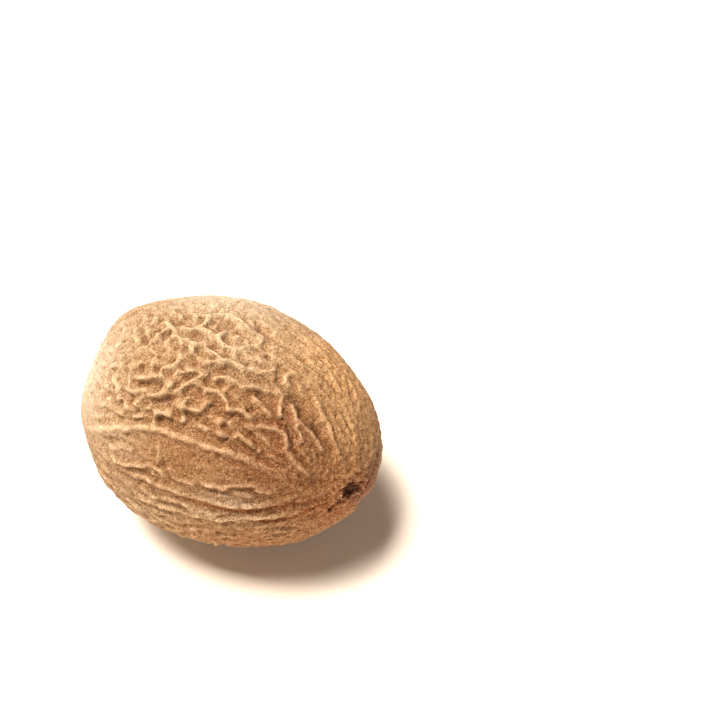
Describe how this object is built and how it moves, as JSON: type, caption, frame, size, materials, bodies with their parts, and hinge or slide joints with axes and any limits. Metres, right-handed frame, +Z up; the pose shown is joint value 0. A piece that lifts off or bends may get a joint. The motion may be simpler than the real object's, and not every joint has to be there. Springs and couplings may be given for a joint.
{
  "type": "whole nutmeg",
  "caption": "Whole dried nutmeg seed, egg-shaped and wrinkled, with a dark pit near its narrow end, lying on its side.",
  "frame": {"origin": "on the surface that the seed rests on, under the middle of its box", "axes": "+X along the seed's length to the narrow end with the dark pit, +Z up, -Y to the side with the double furrow"},
  "size_m": [0.026, 0.0212, 0.0204],
  "materials": {
    "seed_coat": "dry matt seed coat, pale cream-brown ridges over darker tan-brown furrows"
  },
  "bodies": {
    "root": {"nutmeg": "seed_coat"}
  },
  "joints": []
}
